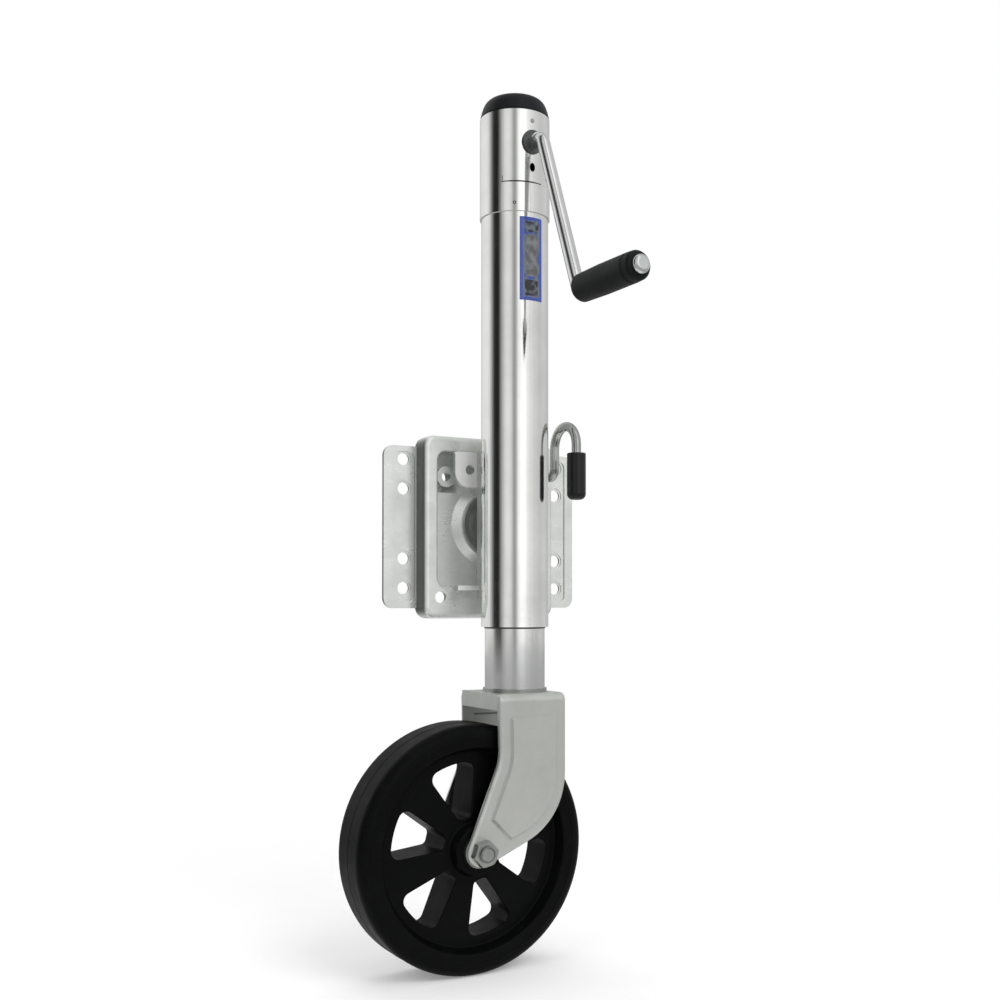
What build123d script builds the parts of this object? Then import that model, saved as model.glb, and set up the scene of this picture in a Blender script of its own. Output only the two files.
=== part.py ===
from build123d import *
import os
from math import asin, atan2, cos, degrees, pi, radians, sin, sqrt, tan

# Swivel-mounted trailer tongue jack with a single caster wheel, in millimetres.
# +Z is up. The origin is where the swivel axis meets the mounting face, and +Y points into
# the trailer's frame, so the tube stands on the -Y side. The wheel trails towards -X.

# ---------------------------------------------------------------- driving dimensions
SHEET = 3.0                      # mounting plate's sheet
PLATE_CENTRE_Z = -3.0            # middle of the plate's outline, below the swivel axis
FLANGE_HALF_WIDTH = 95.0
FLANGE_HALF_HEIGHT = 70.0
BOLT_SPACING_X = 152.4
OUTER_BOLT_SPACING_Z = 111.1
INNER_BOLT_SPACING_Z = 60.3
BOLT_HOLE_R = 5.25
RIM_HALF_WIDTH = 64.1
RIM_HALF_HEIGHT = 78.8
RIM_FRONT = 19.3                 # depth of the raised rim in front of the mounting face
RIM_SIDE_BAND = 13.0
RIM_TOP_BAND = 13.8
RIM_BOTTOM_BAND = 27.5
LOCK_OFFSET = 41.0               # lock holes stand this far from the swivel axis along X and along Z
LOCK_HOLES = ((-LOCK_OFFSET, LOCK_OFFSET), (LOCK_OFFSET, LOCK_OFFSET), (LOCK_OFFSET, -LOCK_OFFSET))
LOCK_PAD_FRONT = 14.0
LOCK_PAD_R = 9.0
SHELF_TOP = 27.0                 # the pocket's floor is raised below this height
DRAIN_OFFSET_X = 49.0            # drain holes in the rim's lower corners
DRAIN_OFFSET_Z = -63.5
PIVOT_R = 23.0                   # bore in the plate's central cone

TUBE_BACK = 33.425               # from the mounting face to the tube's back
TUBE_R = 57.15 / 2
TUBE_OFFSET = TUBE_BACK + TUBE_R  # tube axis in front of the mounting face
TUBE_WALL = 3.05
TUBE_BOTTOM = -88.5
TUBE_TOP = 342.0
SLEEVE_BOTTOM = 257.0
SLEEVE_WALL = 1.2
CAP_HEIGHT = 17.0
CAP_BRIM = 0.725                 # how far the cap's edge stands out from the tube
LABEL_WIDTH = 21.0
LABEL_BOTTOM = 183.0
LABEL_TOP = 252.5

PLATE = 4.0                      # tube bracket's sheet
RIM_GAP = 3.7                    # from the rim to the tube bracket
SADDLE_HALF_WIDTH = 18.0
SADDLE_REACH = 17.0              # from the tube axis back to the ends of the saddle's cheeks
BRACKET_TOP = 62.0
BRACKET_BOTTOM = -63.5
UPPER_TAB_BOTTOM = 31.5
LIP_TOP = -53.5                  # lip across the bracket's lower end
LIP_DEPTH = 9.0
TAB_HALF_WIDTH = 38.7
TAB_HOLE_R = 4.25
TAB_HOLE_AT = (-24.5, 46.5)      # X and Z of the spare hole in the upper tab

PIN_R = 4.0                      # pull pin
PIN_TRAVEL = 10.0
PIN_CLEARANCE = 0.25
CANE_LEG = 60.0                  # depth of the cane's inner leg in front of the mounting face
CANE_ARCH_R = 17.5
CANE_ARCH_Z = 64.8
CANE_END_Z = 24.0
CANE_BEND_R = 7.0
GRIP_SLEEVE_R = 8.0

CRANK_Z = 315.0
CRANK_R = 5.55
CRANK_RADIUS = 139.0
CRANK_ELBOW = 45.1               # from the tube axis to the corner where the arm begins
CRANK_KNEE = 100.5               # from the tube axis to the corner where the handle begins
CRANK_TAIL = 7.425               # how far the shaft's rear end stands out from the tube
ELBOW_R = 12.0
KNEE_R = 7.0
GRIP_START = 105.5
GRIP_LENGTH = 77.0
GRIP_R = 11.8

GEAR_MODULE = 1.7
PINION_TEETH = 12
GEAR_TEETH = 24
FACE_SHARE = 0.24                # face width as a share of the cone distance
TOOTH_SHARE = 0.42               # tooth thickness at the pitch line, as a share of the pitch

SCREW_R = 9.5
SCREW_BOTTOM = -10.0
JOURNAL_R = 8.0
BEARING_PLATE_TOP = 290.2
BEARING_PLATE_THICKNESS = 4.2
THRUST_BEARING_HEIGHT = 5.0
COLLAR_R = 14.0
COLLAR_HEIGHT = 4.0

RAM_CLEARANCE = 0.125            # radial gap between the ram and the outer tube
RAM_R = TUBE_R - TUBE_WALL - RAM_CLEARANCE
RAM_WALL = 2.8
RAM_TOP = 274.0
NUT_HEIGHT = 16.0

FORK_SHEET = 4.0
FORK_HALF_WIDTH = 35.0
FORK_TOP = -142.8
FORK_BACK = -34.0                # X of the fork's trailing edge
FORK_FRONT = 29.5                # X of its leading edge
FORK_WAIST = (-33.0, -196.0)     # X and Z where the trailing edge bends to the axle
FORK_BOSS_R = 12.5
FORK_HEEL_R = 60.0
FORK_HEEL_SLOPE = 23.2           # degrees, lower edge from the boss
FORK_LIP = 13.0
EMBOSS_INSET = 9.5
EMBOSS_RISE = 2.6
EMBOSS_TOP = -161.5
EMBOSS_END = 23.4                # from the axle to the panel's lower step
KINGPIN_R = 8.0

WHEEL_R = 101.6
WHEEL_HALF_WIDTH = 25.4
WHEEL_SHOULDER_R = 9.0
TRAIL = 49.5
AXLE_Z = -268.4
AXLE_R = 6.35
SLEEVE_R = 8.0
BUSH_R = 11.0
HUB_R = 19.5
HUB_HALF_WIDTH = 28.0
WINDOWS = 6

RUNNING = 0.05                   # radial running clearance
SEATED = 0.03                    # radial gap of a pressed or welded seat
END_FLOAT = 0.1

# ---------------------------------------------------------------- planes


def facing(depth):
    """The plane at a depth in front of the mounting face, looking forward: local x is X, local y is Z."""
    return Plane(origin=(0, -depth, 0), x_dir=(1, 0, 0), z_dir=(0, -1, 0))


def outward(distance):
    """The same plane, placed from the tube's axis."""
    return facing(TUBE_OFFSET + distance)


def level(height):
    """A horizontal plane on the tube's axis."""
    return Plane(origin=(0, -TUBE_OFFSET, height))


def crank_plane(distance):
    """A plane across the crank shaft, at a distance in front of the tube's axis."""
    return Plane(origin=(0, -TUBE_OFFSET - distance, CRANK_Z), x_dir=(1, 0, 0), z_dir=(0, -1, 0))


def axle_plane(distance):
    """A plane across the axle, at a distance in front of the wheel's middle."""
    return Plane(origin=(-TRAIL, -TUBE_OFFSET - distance, AXLE_Z), x_dir=(1, 0, 0), z_dir=(0, -1, 0))


def ring(outer, inner):
    """A flat ring in the sketch that is open."""
    Circle(outer)
    Circle(inner, mode=Mode.SUBTRACT)


os.makedirs("parts", exist_ok=True)

# ---------------------------------------------------------------- mounting plate
pocket_half_width = RIM_HALF_WIDTH - RIM_SIDE_BAND
pocket_top = PLATE_CENTRE_Z + RIM_HALF_HEIGHT - RIM_TOP_BAND
pocket_bottom = PLATE_CENTRE_Z - RIM_HALF_HEIGHT + RIM_BOTTOM_BAND
pocket_half_height = (pocket_top - pocket_bottom) / 2
pocket_centre_z = (pocket_top + pocket_bottom) / 2
rim_corner = 10.0
pocket_corner = 8.0
cone_base = pocket_half_width - 1.0
cone_top = PIVOT_R + 2 * SHEET
collar_depth = 10.0              # depth of the pivot bore's rear end in front of the mounting face
flange_corner = 9.0
rim_edge_r = 4.5
pocket_edge_r = 2.0
panel_width = 20.5               # pressed panel round each flange's bolt holes
panel_margin = 4.5
panel_corner = 7.0
panel_depth = 0.8
spot_r = 7.2                     # flat round each bolt hole
spot_depth = 0.5
drain_hole_r = 5.0


def rounded(half_width, half_height, corner, middle):
    with Locations((0, middle)):
        RectangleRounded(2 * half_width, 2 * half_height, corner)


def pocket_floor(half_width, bottom, top):
    """A rectangle across the pocket, between two heights."""
    with Locations((0, (bottom + top) / 2)):
        Rectangle(2 * half_width, top - bottom)


with BuildPart() as mount_plate:
    with BuildSketch(facing(0)):
        rounded(FLANGE_HALF_WIDTH, FLANGE_HALF_HEIGHT, flange_corner, PLATE_CENTRE_Z)
    extrude(amount=SHEET)
    with BuildSketch(facing(0)):
        rounded(RIM_HALF_WIDTH, RIM_HALF_HEIGHT, rim_corner, PLATE_CENTRE_Z)
    extrude(amount=RIM_FRONT)
    front_edges = mount_plate.faces().sort_by(Axis.Y)[0].outer_wire().edges()
    fillet(front_edges, radius=rim_edge_r)
    with BuildSketch(facing(0)):
        rounded(RIM_HALF_WIDTH - SHEET, RIM_HALF_HEIGHT - SHEET, rim_corner - SHEET, PLATE_CENTRE_Z)
    extrude(amount=RIM_FRONT - SHEET, mode=Mode.SUBTRACT)
    with BuildSketch(facing(0)):
        rounded(pocket_half_width + SHEET, pocket_half_height + SHEET, pocket_corner + SHEET, pocket_centre_z)
    extrude(amount=RIM_FRONT)
    with BuildSketch(facing(SHEET)):
        rounded(pocket_half_width, pocket_half_height, pocket_corner, pocket_centre_z)
    extrude(amount=RIM_FRONT - SHEET, mode=Mode.SUBTRACT)
    lip_edges = mount_plate.faces().sort_by(Axis.Y)[0].inner_wires()[0].edges()
    fillet(lip_edges, radius=pocket_edge_r)
    with BuildSketch(facing(0)):
        pocket_floor(pocket_half_width + 1, pocket_bottom - 1, SHELF_TOP)
    extrude(amount=LOCK_PAD_FRONT)
    with BuildSketch(facing(0)):
        pocket_floor(pocket_half_width, pocket_bottom, SHELF_TOP - SHEET)
    extrude(amount=LOCK_PAD_FRONT - SHEET, mode=Mode.SUBTRACT)
    with BuildSketch(facing(0)):
        Circle(cone_base)
    extrude(amount=LOCK_PAD_FRONT - SHEET, mode=Mode.SUBTRACT)
    with BuildSketch(facing(0)):
        Circle(cone_top + 1)
    extrude(amount=LOCK_PAD_FRONT, mode=Mode.SUBTRACT)
    with BuildSketch(facing(SHEET)):
        with Locations((-LOCK_OFFSET, LOCK_OFFSET), (LOCK_OFFSET, LOCK_OFFSET)):
            Circle(LOCK_PAD_R)
    extrude(amount=LOCK_PAD_FRONT - SHEET)
    with BuildSketch(Plane.XY):
        with BuildLine():
            Polyline(
                (cone_base, 0),
                (cone_base, -SHEET),
                (cone_top, -RIM_FRONT),
                (PIVOT_R, -RIM_FRONT),
                (PIVOT_R, -collar_depth),
                (PIVOT_R + SHEET, -collar_depth),
                (PIVOT_R + SHEET, -RIM_FRONT + SHEET),
                (cone_base - SHEET, 0),
                close=True,
            )
        make_face()
    revolve(axis=Axis.Y)
    with BuildSketch(facing(0)):
        with Locations(*LOCK_HOLES):
            Circle(LOCK_PAD_R - SHEET)
    extrude(amount=LOCK_PAD_FRONT - SHEET, mode=Mode.SUBTRACT)
    with BuildSketch(facing(0)):
        with Locations(*LOCK_HOLES):
            Circle(PIN_R + PIN_CLEARANCE)
        with Locations((-DRAIN_OFFSET_X, DRAIN_OFFSET_Z), (DRAIN_OFFSET_X, DRAIN_OFFSET_Z)):
            Circle(drain_hole_r)
        with GridLocations(BOLT_SPACING_X, OUTER_BOLT_SPACING_Z, 2, 2):
            Circle(BOLT_HOLE_R)
        with GridLocations(BOLT_SPACING_X, INNER_BOLT_SPACING_Z, 2, 2):
            Circle(BOLT_HOLE_R)
    extrude(amount=RIM_FRONT, mode=Mode.SUBTRACT)
    with BuildSketch(facing(SHEET - panel_depth)):
        with Locations((-BOLT_SPACING_X / 2, PLATE_CENTRE_Z), (BOLT_SPACING_X / 2, PLATE_CENTRE_Z)):
            RectangleRounded(panel_width, 2 * (FLANGE_HALF_HEIGHT - panel_margin), panel_corner)
    extrude(amount=panel_depth, mode=Mode.SUBTRACT)
    with BuildSketch(facing(SHEET - panel_depth - spot_depth)):
        with GridLocations(BOLT_SPACING_X, OUTER_BOLT_SPACING_Z, 2, 2):
            Circle(spot_r)
        with GridLocations(BOLT_SPACING_X, INNER_BOLT_SPACING_Z, 2, 2):
            Circle(spot_r)
    extrude(amount=spot_depth, mode=Mode.SUBTRACT)
mount_plate.part.label = "mount_plate"
export_step(mount_plate.part, "parts/mount_plate.step")

# ---------------------------------------------------------------- swivel
bracket_back = RIM_FRONT + RIM_GAP
bracket_front = bracket_back + PLATE
neck_r = 9.5
drum_front = 15.0
drum_back = collar_depth - END_FLOAT
stub_r = 12.0
stub_end = 3.4
rivet_head_r = 12.0
rivet_head_height = 3.0
washer_thickness = 3.0
groove_r = 10.9
ring_thickness = 1.6

with BuildPart() as pivot_thrust_ring:
    with BuildSketch(facing(RIM_FRONT)):
        ring(cone_top - 1.5, PIVOT_R + 0.6)
    extrude(amount=RIM_GAP - END_FLOAT)
pivot_thrust_ring.part.label = "pivot_thrust_ring"
export_step(pivot_thrust_ring.part, "parts/pivot_thrust_ring.step")

groove_front = drum_back - washer_thickness
with BuildPart() as pivot_drum:
    with BuildSketch(Plane.XY):
        with BuildLine():
            Polyline(
                (0, -stub_end),
                (stub_r, -stub_end),
                (stub_r, -groove_front + ring_thickness),
                (groove_r, -groove_front + ring_thickness),
                (groove_r, -groove_front),
                (stub_r, -groove_front),
                (stub_r, -drum_back),
                (PIVOT_R - 0.08, -drum_back),
                (PIVOT_R - 0.08, -drum_front),
                (neck_r, -drum_front),
                (neck_r, -bracket_front),
                (rivet_head_r, -bracket_front),
                (rivet_head_r - 1, -bracket_front - rivet_head_height),
                (0, -bracket_front - rivet_head_height),
                close=True,
            )
        make_face()
    revolve(axis=Axis.Y)
pivot_drum.part.label = "pivot_drum"
export_step(pivot_drum.part, "parts/pivot_drum.step")

with BuildPart() as pivot_washer:
    with BuildSketch(facing(groove_front)):
        ring(cone_top - 1, stub_r + SEATED)
    extrude(amount=washer_thickness)
pivot_washer.part.label = "pivot_washer"
export_step(pivot_washer.part, "parts/pivot_washer.step")

with BuildPart() as pivot_retaining_ring:
    with BuildSketch(facing(groove_front - ring_thickness)):
        ring(stub_r + 3, groove_r + SEATED)
        with Locations((0, -stub_r)):
            Rectangle(5, stub_r, mode=Mode.SUBTRACT)
    extrude(amount=ring_thickness)
pivot_retaining_ring.part.label = "pivot_retaining_ring"
export_step(pivot_retaining_ring.part, "parts/pivot_retaining_ring.step")

# ---------------------------------------------------------------- tube bracket
ear_half = 11.0
saddle_bend = 6.0
housing_r = 9.0
saddle_depth = TUBE_OFFSET - bracket_back - SADDLE_REACH

with BuildPart() as tube_bracket:
    with BuildSketch(Plane.XY.offset(BRACKET_BOTTOM)):
        with Locations((0, -bracket_back - saddle_depth / 2)):
            Rectangle(2 * SADDLE_HALF_WIDTH, saddle_depth)
    extrude(amount=BRACKET_TOP - BRACKET_BOTTOM)
    back_edges = tube_bracket.faces().sort_by(Axis.Y)[-1].edges().filter_by(Axis.Z)
    fillet(back_edges, radius=saddle_bend)
    with BuildSketch(Plane.XY.offset(BRACKET_BOTTOM)) as channel_inside:
        with Locations((0, -bracket_front - saddle_depth / 2)):
            Rectangle(2 * (SADDLE_HALF_WIDTH - PLATE), saddle_depth)
        fillet(channel_inside.vertices().group_by(Axis.Y)[-1], radius=saddle_bend - PLATE)
    extrude(amount=BRACKET_TOP - BRACKET_BOTTOM, mode=Mode.SUBTRACT)
    with BuildSketch(facing(bracket_back)) as tabs:
        with BuildLine():
            FilletPolyline(
                (-TAB_HALF_WIDTH, BRACKET_TOP),
                (0, BRACKET_TOP),
                (0, UPPER_TAB_BOTTOM),
                (-TAB_HALF_WIDTH, UPPER_TAB_BOTTOM),
                radius=[3, 0, 0, 13],
                close=True,
            )
        make_face()
        with BuildLine():
            FilletPolyline(
                (0, BRACKET_TOP),
                (LOCK_OFFSET + ear_half, BRACKET_TOP),
                (LOCK_OFFSET + ear_half, LOCK_OFFSET - ear_half),
                (0, LOCK_OFFSET - ear_half),
                radius=[0, 9, 9, 0],
                close=True,
            )
        make_face()
        with Locations(TAB_HOLE_AT):
            Circle(TAB_HOLE_R, mode=Mode.SUBTRACT)
        with Locations((LOCK_OFFSET, LOCK_OFFSET)):
            Circle(housing_r + SEATED, mode=Mode.SUBTRACT)
    extrude(amount=PLATE)
    with BuildSketch(Plane.XY.offset(LIP_TOP - PLATE)):
        with Locations((0, -bracket_back - LIP_DEPTH / 2)):
            Rectangle(2 * TAB_HALF_WIDTH, LIP_DEPTH)
    extrude(amount=PLATE)
    with BuildSketch(facing(bracket_back)):
        Circle(neck_r + SEATED)
    extrude(amount=PLATE, mode=Mode.SUBTRACT)
    with BuildSketch(level(BRACKET_BOTTOM)):
        Circle(TUBE_R)
    extrude(amount=BRACKET_TOP - BRACKET_BOTTOM, mode=Mode.SUBTRACT)
tube_bracket.part.label = "tube_bracket"
export_step(tube_bracket.part, "parts/tube_bracket.step")

# ---------------------------------------------------------------- pull pin
housing_back = bracket_back - 1.5
housing_wall = 1.5
collar_length = 2.0
spring_wire = 0.6
spring_coils = 3.5
spring_gap = 4.0                 # length of the squeezed spring while the pin is drawn
housing_inside = collar_length + PIN_TRAVEL + spring_gap
housing_front = housing_back + housing_wall + housing_inside
pin_cap_length = 2.5
pin_tip = RIM_FRONT + 0.5
collar_r = 7.0
housing_bore = collar_r + 0.3


def pin_plane(depth):
    """A plane across the pull pin."""
    return Plane(origin=(LOCK_OFFSET, -depth, LOCK_OFFSET), x_dir=(1, 0, 0), z_dir=(0, -1, 0))


with BuildPart() as pin_housing:
    with BuildSketch(pin_plane(housing_back)):
        Circle(housing_r)
    extrude(amount=housing_wall + housing_inside + pin_cap_length)
    with BuildSketch(pin_plane(housing_back + housing_wall)):
        Circle(housing_bore)
    extrude(amount=housing_inside + pin_cap_length, mode=Mode.SUBTRACT)
    with BuildSketch(pin_plane(housing_back)):
        Circle(PIN_R + RUNNING)
    extrude(amount=housing_wall, mode=Mode.SUBTRACT)
pin_housing.part.label = "pin_housing"
export_step(pin_housing.part, "parts/pin_housing.step")

with BuildPart() as pin_housing_cap:
    with BuildSketch(pin_plane(housing_front)):
        ring(housing_bore - SEATED, PIN_R + RUNNING)
    extrude(amount=pin_cap_length)
pin_housing_cap.part.label = "pin_housing_cap"
export_step(pin_housing_cap.part, "parts/pin_housing_cap.step")

with BuildPart() as pull_pin:
    with BuildLine() as cane_line:
        FilletPolyline(
            (LOCK_OFFSET, -pin_tip, LOCK_OFFSET),
            (LOCK_OFFSET, -CANE_LEG, LOCK_OFFSET),
            (LOCK_OFFSET, -CANE_LEG, CANE_ARCH_Z + CANE_ARCH_R),
            (LOCK_OFFSET, -CANE_LEG - 2 * CANE_ARCH_R, CANE_ARCH_Z + CANE_ARCH_R),
            (LOCK_OFFSET, -CANE_LEG - 2 * CANE_ARCH_R, CANE_END_Z),
            radius=[CANE_BEND_R, CANE_ARCH_R - 0.01, CANE_ARCH_R - 0.01],
        )
    with BuildSketch(pin_plane(pin_tip)):
        Circle(PIN_R)
    sweep()
    chamfer(pull_pin.faces().sort_by(Axis.Y)[-1].edges(), length=1.2)
pull_pin.part.label = "pull_pin"
export_step(pull_pin.part, "parts/pull_pin.step")

with BuildPart() as pin_collar:
    with BuildSketch(pin_plane(housing_front - spring_gap - collar_length)):
        ring(collar_r, PIN_R + SEATED)
    extrude(amount=collar_length)
pin_collar.part.label = "pin_collar"
export_step(pin_collar.part, "parts/pin_collar.step")

spring_mean_r = (PIN_R + collar_r) / 2
spring_length = spring_gap - 2 * spring_wire - 0.1
with BuildPart() as pin_spring:
    with BuildLine() as spring_line:
        Helix(
            pitch=spring_length / spring_coils,
            height=spring_length,
            radius=spring_mean_r,
            center=(LOCK_OFFSET, -housing_front + spring_wire + 0.05, LOCK_OFFSET),
            direction=(0, 1, 0),
        )
    with BuildSketch(Plane(origin=spring_line.line @ 0, z_dir=spring_line.line % 0)):
        Circle(spring_wire)
    sweep()
pin_spring.part.label = "pin_spring"
export_step(pin_spring.part, "parts/pin_spring.step")

with BuildPart() as pin_grip:
    grip_bottom = CANE_END_Z - 5.5
    grip_top = CANE_ARCH_Z - 7
    with BuildSketch(Plane(origin=(LOCK_OFFSET, -CANE_LEG - 2 * CANE_ARCH_R, grip_bottom))):
        Circle(GRIP_SLEEVE_R)
    extrude(amount=grip_top - grip_bottom)
    fillet(pin_grip.faces().sort_by(Axis.Z)[0].edges(), radius=5)
    fillet(pin_grip.faces().sort_by(Axis.Z)[-1].edges(), radius=0.8)
    with BuildSketch(Plane(origin=(LOCK_OFFSET, -CANE_LEG - 2 * CANE_ARCH_R, CANE_END_Z))):
        Circle(PIN_R + SEATED)
    extrude(amount=grip_top - CANE_END_Z, mode=Mode.SUBTRACT)
pin_grip.part.label = "pin_grip"
export_step(pin_grip.part, "parts/pin_grip.step")

# ---------------------------------------------------------------- tube, sleeve, cap, label
tube_bore = TUBE_R - TUBE_WALL
sleeve_r = TUBE_R + SLEEVE_WALL
cap_r = TUBE_R + CAP_BRIM
bush_r = 8.5
flange_r = 9.8
bush_inner = 22.5                # inner end of each crank bush, from the tube's axis
sight_hole_z = 294.0
slit_z = 281.0
slit_width = 0.9
slit_from = -52.0                # degrees from the front, about the tube's axis
slit_to = 18.0
rivet_z = 333.0
rivet_r = 1.8
plug_depth = 12.0

with BuildPart() as outer_tube:
    with BuildSketch(level(TUBE_BOTTOM)):
        ring(TUBE_R, tube_bore)
    extrude(amount=TUBE_TOP - TUBE_BOTTOM)
    with BuildSketch(outward(-TUBE_R)):
        with Locations((0, CRANK_Z)):
            Circle(bush_r + SEATED)
    extrude(amount=2 * TUBE_R, mode=Mode.SUBTRACT)
    with BuildSketch(outward(0)):
        with Locations((0, sight_hole_z)):
            Ellipse(2.5, 3.7)
        with Locations((0, rivet_z)):
            Circle(rivet_r + SEATED)
    extrude(amount=TUBE_R, mode=Mode.SUBTRACT)
outer_tube.part.label = "outer_tube"
export_step(outer_tube.part, "parts/outer_tube.step")

with BuildPart() as head_sleeve:
    with BuildSketch(level(SLEEVE_BOTTOM)):
        ring(sleeve_r, TUBE_R + SEATED)
    extrude(amount=TUBE_TOP - SLEEVE_BOTTOM)
    with BuildSketch(outward(-sleeve_r)):
        with Locations((0, CRANK_Z)):
            Circle(bush_r + SEATED)
    extrude(amount=2 * sleeve_r, mode=Mode.SUBTRACT)
    with BuildSketch(outward(0)):
        with Locations((0, sight_hole_z)):
            Ellipse(2.5, 3.7)
        with Locations((0, rivet_z)):
            Circle(rivet_r + SEATED)
    extrude(amount=sleeve_r, mode=Mode.SUBTRACT)
    with BuildSketch(Plane(origin=(0, -TUBE_OFFSET, slit_z))):
        with BuildLine():
            middle = radians((slit_from + slit_to) / 2)
            slit_reach = 2 * sleeve_r
            Polyline(
                (0, 0),
                (slit_reach * sin(radians(slit_from)), -slit_reach * cos(radians(slit_from))),
                (slit_reach * sin(middle), -slit_reach * cos(middle)),
                (slit_reach * sin(radians(slit_to)), -slit_reach * cos(radians(slit_to))),
                close=True,
            )
        make_face()
    extrude(amount=slit_width, mode=Mode.SUBTRACT)
head_sleeve.part.label = "head_sleeve"
export_step(head_sleeve.part, "parts/head_sleeve.step")

with BuildPart() as top_cap:
    with BuildSketch(Plane.XZ.offset(TUBE_OFFSET)):
        with BuildLine():
            l1 = Line((0, TUBE_TOP + CAP_HEIGHT), (17, TUBE_TOP + CAP_HEIGHT))
            l2 = Line((cap_r, TUBE_TOP), (cap_r, TUBE_TOP + 2))
            Spline(l1 @ 1, l2 @ 1, tangents=[(1, 0, 0), (0.25, -1, 0)])
            Line(l2 @ 0, (tube_bore - SEATED, TUBE_TOP))
            Line((tube_bore - SEATED, TUBE_TOP), (tube_bore - SEATED, TUBE_TOP - plug_depth))
            Line((tube_bore - SEATED, TUBE_TOP - plug_depth), (tube_bore - 2.5, TUBE_TOP - plug_depth))
            Line((tube_bore - 2.5, TUBE_TOP - plug_depth), (tube_bore - 2.5, TUBE_TOP + 1.5))
            l3 = Line((14, TUBE_TOP + CAP_HEIGHT - 2.5), (0, TUBE_TOP + CAP_HEIGHT - 2.5))
            Line((tube_bore - 2.5, TUBE_TOP + 1.5), l3 @ 0)
            Line(l3 @ 1, l1 @ 0)
        make_face()
    revolve(axis=Axis((0, -TUBE_OFFSET, 0), (0, 0, 1)))
    with BuildSketch(outward(0)):
        with Locations((0, rivet_z)):
            Circle(rivet_r + SEATED)
    extrude(amount=TUBE_R, mode=Mode.SUBTRACT)
top_cap.part.label = "top_cap"
export_step(top_cap.part, "parts/top_cap.step")

with BuildPart() as cap_rivet:
    with BuildSketch(outward(tube_bore - 4)):
        with Locations((0, rivet_z)):
            Circle(rivet_r)
    extrude(amount=sleeve_r - tube_bore + 4 + 0.6)
    fillet(cap_rivet.faces().sort_by(Axis.Y)[0].edges(), radius=0.5)
cap_rivet.part.label = "cap_rivet"
export_step(cap_rivet.part, "parts/cap_rivet.step")

label_thickness = 0.25
with BuildPart() as label_plate:
    with BuildSketch(level(LABEL_BOTTOM)):
        ring(TUBE_R + label_thickness, TUBE_R)
        with Locations((0, -TUBE_R)):
            Rectangle(LABEL_WIDTH, TUBE_R, mode=Mode.INTERSECT)
    extrude(amount=LABEL_TOP - LABEL_BOTTOM)
label_plate.part.label = "label_plate"
export_step(label_plate.part, "parts/label_plate.step")

# ---------------------------------------------------------------- crank
flange_thickness = 2.4
flange_edge_r = 0.8
flange_seat = sleeve_r + 0.05
crank_back = TUBE_R + CRANK_TAIL


def crank_bush(side):
    """A flanged bush for the crank shaft: side is 1 in front of the tube and -1 behind it."""
    with BuildPart() as bush:
        with BuildSketch(crank_plane(side * bush_inner)):
            Circle(bush_r)
        extrude(amount=side * (flange_seat - bush_inner + flange_thickness))
        with BuildSketch(crank_plane(side * flange_seat)):
            Circle(flange_r)
        extrude(amount=side * flange_thickness)
        fillet(bush.faces().sort_by(Axis.Y)[0 if side == 1 else -1].edges(), radius=flange_edge_r)
        with BuildSketch(crank_plane(side * bush_inner)):
            Circle(CRANK_R + RUNNING)
        extrude(amount=side * (flange_seat - bush_inner + flange_thickness), mode=Mode.SUBTRACT)
    return bush.part


for place, side in (("front", 1), ("rear", -1)):
    with BuildPart() as crank_bush_part:
        add(crank_bush(side))
    crank_bush_part.part.label = "crank_bush_" + place
    export_step(crank_bush_part.part, "parts/crank_bush_" + place + ".step")

grip_end = GRIP_START + GRIP_LENGTH
rod_end = grip_end + 2.5
handle_z = CRANK_Z - CRANK_RADIUS
pinion_pin_r = 1.25
pinion_pin_at = 11.5             # from the tube's axis

with BuildPart() as crank_rod:
    with BuildLine():
        FilletPolyline(
            (0, -TUBE_OFFSET + crank_back, CRANK_Z),
            (0, -TUBE_OFFSET - CRANK_ELBOW, CRANK_Z),
            (0, -TUBE_OFFSET - CRANK_KNEE, handle_z),
            (0, -TUBE_OFFSET - rod_end, handle_z),
            radius=[ELBOW_R, KNEE_R],
        )
    with BuildSketch(crank_plane(-crank_back)):
        Circle(CRANK_R)
    sweep()
    chamfer(crank_rod.faces().sort_by(Axis.Y)[-1].edges(), length=0.8)
    with BuildSketch(Plane(origin=(0, -TUBE_OFFSET - pinion_pin_at, CRANK_Z - CRANK_R))):
        Circle(pinion_pin_r + SEATED)
    extrude(amount=2 * CRANK_R, mode=Mode.SUBTRACT)
crank_rod.part.label = "crank_rod"
export_step(crank_rod.part, "parts/crank_rod.step")

clip_seat = flange_seat + flange_thickness + END_FLOAT
with BuildPart() as crank_push_ring:
    with BuildSketch(crank_plane(-clip_seat - 1.2)):
        ring(CRANK_R + 3.2, CRANK_R + SEATED)
    extrude(amount=1.2)
crank_push_ring.part.label = "crank_push_ring"
export_step(crank_push_ring.part, "parts/crank_push_ring.step")

groove_from_end = 9.0
with BuildPart() as handle_grip:
    with BuildSketch(Plane.YZ):
        with BuildLine():
            start = -TUBE_OFFSET - GRIP_START
            end = -TUBE_OFFSET - grip_end
            Polyline(
                (start, handle_z + CRANK_R + RUNNING),
                (start, handle_z + GRIP_R - 1.6),
                (start - 1.6, handle_z + GRIP_R - 0.6),
                (start - 30, handle_z + GRIP_R),
                (end + groove_from_end + 1, handle_z + GRIP_R - 0.2),
                (end + groove_from_end, handle_z + GRIP_R - 1.0),
                (end + groove_from_end - 1, handle_z + GRIP_R - 0.3),
                (end + 3.0, handle_z + GRIP_R - 0.6),
                (end + 0.8, handle_z + GRIP_R - 2.0),
                (end, handle_z + GRIP_R - 3.6),
                (end, handle_z + CRANK_R + RUNNING),
                close=True,
            )
        make_face()
    revolve(axis=Axis((0, 0, handle_z), (0, 1, 0)))
handle_grip.part.label = "handle_grip"
export_step(handle_grip.part, "parts/handle_grip.step")

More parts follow.
